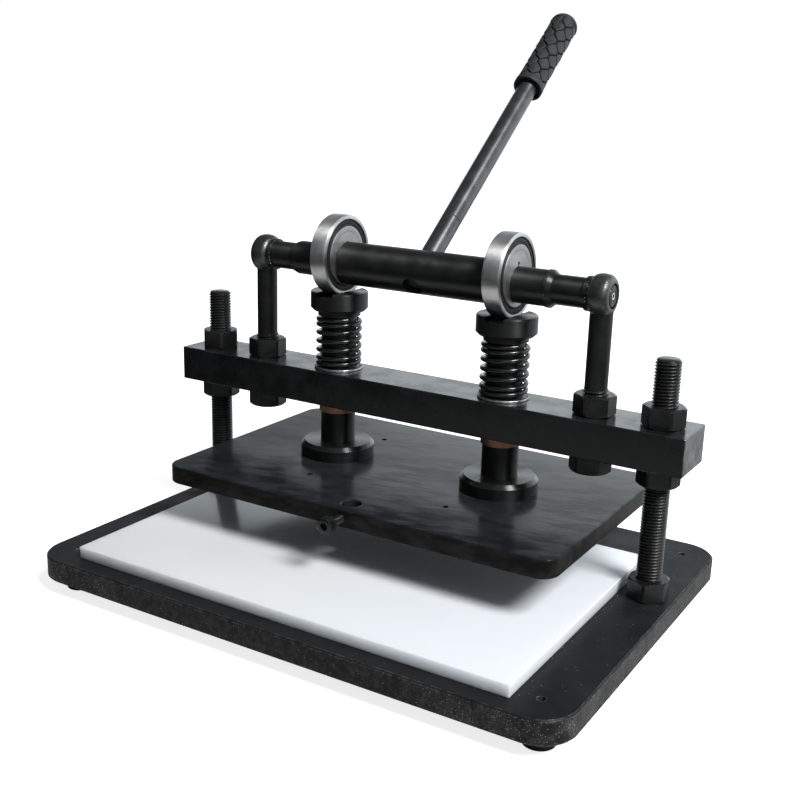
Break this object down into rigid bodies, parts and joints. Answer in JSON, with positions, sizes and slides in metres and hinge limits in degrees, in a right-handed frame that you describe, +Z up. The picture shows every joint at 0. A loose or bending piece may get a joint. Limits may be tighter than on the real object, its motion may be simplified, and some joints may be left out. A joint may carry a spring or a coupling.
{
  "type": "manual die cutting machine",
  "caption": "Bench press for steel rule dies: a lever turns a cross shaft with eccentric rollers that push a sprung pressing plate down onto a cutting board.",
  "frame": {"origin": "on the bench, midway between the four rubber feet, under the middle of the base plate", "axes": "+X to the operator's right along the cross shaft, +Y away from the operator, +Z up"},
  "size_m": [0.476, 0.4785, 0.4773],
  "materials": {
    "base_steel": "dark satin coating, worn bright along the rim",
    "black_oxide": "black oxide on steel, slightly oily",
    "plate_steel": "blued steel, brushed, satin",
    "thread_steel": "blackened thread",
    "spring_steel": "gloss black",
    "bearing_steel": "ground and polished",
    "ground_steel": "ground",
    "bush_copper": "turned, dull",
    "rubber": "matt",
    "seal_rubber": "smooth",
    "cage_steel": "pressed",
    "board_plastic": "satin white",
    "screw_steel": "zinc plated"
  },
  "bodies": {
    "frame": {"base_plate": "base_steel", "rubber_feet": "rubber", "foot_screws": "screw_steel", "threaded_rod_l": "thread_steel", "threaded_rod_r": "thread_steel", "base_nuts": "black_oxide"},
    "crosshead": {"crossbeam": "black_oxide", "eye_bolt_l": "black_oxide", "eye_bolt_r": "black_oxide", "eye_lower_nuts": "black_oxide", "eye_upper_nuts": "black_oxide", "guide_bush_l": "bush_copper", "guide_bush_r": "bush_copper", "spring_washers": "ground_steel", "return_spring_l": "spring_steel", "return_spring_r": "spring_steel"},
    "shaft": {"cross_shaft": "black_oxide", "thrust_washers": "black_oxide", "drive_pins": "ground_steel", "spacer_sleeve_l": "black_oxide", "spacer_sleeve_r": "black_oxide", "eccentric_disc_l": "ground_steel", "eccentric_disc_r": "ground_steel", "bearing_inner_ring_l": "bearing_steel", "bearing_inner_ring_r": "bearing_steel", "lever_stub": "black_oxide", "lever_rod": "black_oxide", "hand_grip": "rubber"},
    "press": {"plunger_l": "black_oxide", "plunger_r": "black_oxide", "platen_flange_l": "black_oxide", "platen_flange_r": "black_oxide", "plunger_screws": "black_oxide", "pressing_plate": "plate_steel"},
    "clamp": {"clamp_screw": "black_oxide"},
    "board": {"cutting_board": "board_plastic"},
    "beam_lower_nut_l": {"beam_lower_nut_l": "black_oxide"},
    "beam_lower_nut_r": {"beam_lower_nut_r": "black_oxide"},
    "beam_upper_nut_l": {"beam_upper_nut_l": "black_oxide"},
    "beam_upper_nut_r": {"beam_upper_nut_r": "black_oxide"},
    "roller_l": {"bearing_outer_ring_l": "bearing_steel", "bearing_seals_l": "seal_rubber"},
    "cage_l": {"bearing_balls_l": "bearing_steel", "bearing_cage_l": "cage_steel"},
    "roller_r": {"bearing_outer_ring_r": "bearing_steel", "bearing_seals_r": "seal_rubber"},
    "cage_r": {"bearing_balls_r": "bearing_steel", "bearing_cage_r": "cage_steel"}
  },
  "joints": [
    {"name": "beam_height", "type": "slide", "parent": "frame", "child": "crosshead", "axis": [0, 0, 1], "range_m": [-0.02, 0.03]},
    {"name": "lever_turn", "type": "hinge", "parent": "crosshead", "child": "shaft", "pos_m": [0, 0.045, 0.262], "axis": [1, 0, 0], "range_deg": [0, 133.5]},
    {"name": "press_slide", "type": "slide", "parent": "crosshead", "child": "press", "axis": [0, 0, -1], "range_m": [0, 0.011], "stiffness_N_per_m": 24500, "springref_m": -0.012, "deforming": ["return_spring_l", "return_spring_r"]},
    {"name": "clamp_feed", "type": "slide", "parent": "press", "child": "clamp", "axis": [0, 1, 0], "range_m": [0, 0.012]},
    {"name": "board_slide", "type": "slide", "parent": "frame", "child": "board", "axis": [0, -1, 0], "range_m": [0, 0.27]},
    {"name": "beam_lower_nut_l_turn", "type": "hinge", "parent": "crosshead", "child": "beam_lower_nut_l", "pos_m": [-0.213, 0.045, 0.14], "axis": [0, 0, 1], "range_deg": [-2881, 4321]},
    {"name": "beam_lower_nut_r_turn", "type": "hinge", "parent": "crosshead", "child": "beam_lower_nut_r", "pos_m": [0.213, 0.045, 0.14], "axis": [0, 0, 1], "range_deg": [-2881, 4321]},
    {"name": "beam_upper_nut_l_turn", "type": "hinge", "parent": "crosshead", "child": "beam_upper_nut_l", "pos_m": [-0.213, 0.045, 0.17], "axis": [0, 0, 1], "range_deg": [-2881, 4321]},
    {"name": "beam_upper_nut_r_turn", "type": "hinge", "parent": "crosshead", "child": "beam_upper_nut_r", "pos_m": [0.213, 0.045, 0.17], "axis": [0, 0, 1], "range_deg": [-2881, 4321]},
    {"name": "roller_l_spin", "type": "hinge", "parent": "shaft", "child": "roller_l", "pos_m": [-0.08, 0.045, 0.2685], "axis": [1, 0, 0], "continuous": true},
    {"name": "cage_l_spin", "type": "hinge", "parent": "shaft", "child": "cage_l", "pos_m": [-0.08, 0.045, 0.2685], "axis": [1, 0, 0], "continuous": true},
    {"name": "roller_r_spin", "type": "hinge", "parent": "shaft", "child": "roller_r", "pos_m": [0.08, 0.045, 0.2685], "axis": [1, 0, 0], "continuous": true},
    {"name": "cage_r_spin", "type": "hinge", "parent": "shaft", "child": "cage_r", "pos_m": [0.08, 0.045, 0.2685], "axis": [1, 0, 0], "continuous": true}
  ],
  "couplings": [
    {"joint": "press_slide", "follows": "lever_turn", "m_per_rad": 0.00471},
    {"joint": "beam_lower_nut_l_turn", "follows": "beam_height", "rad_per_m": 2513.3},
    {"joint": "beam_lower_nut_r_turn", "follows": "beam_height", "rad_per_m": 2513.3},
    {"joint": "beam_upper_nut_l_turn", "follows": "beam_height", "rad_per_m": 2513.3},
    {"joint": "beam_upper_nut_r_turn", "follows": "beam_height", "rad_per_m": 2513.3},
    {"joint": "cage_l_spin", "follows": "roller_l_spin", "ratio": 0.5735},
    {"joint": "cage_r_spin", "follows": "roller_r_spin", "ratio": 0.5735}
  ]
}
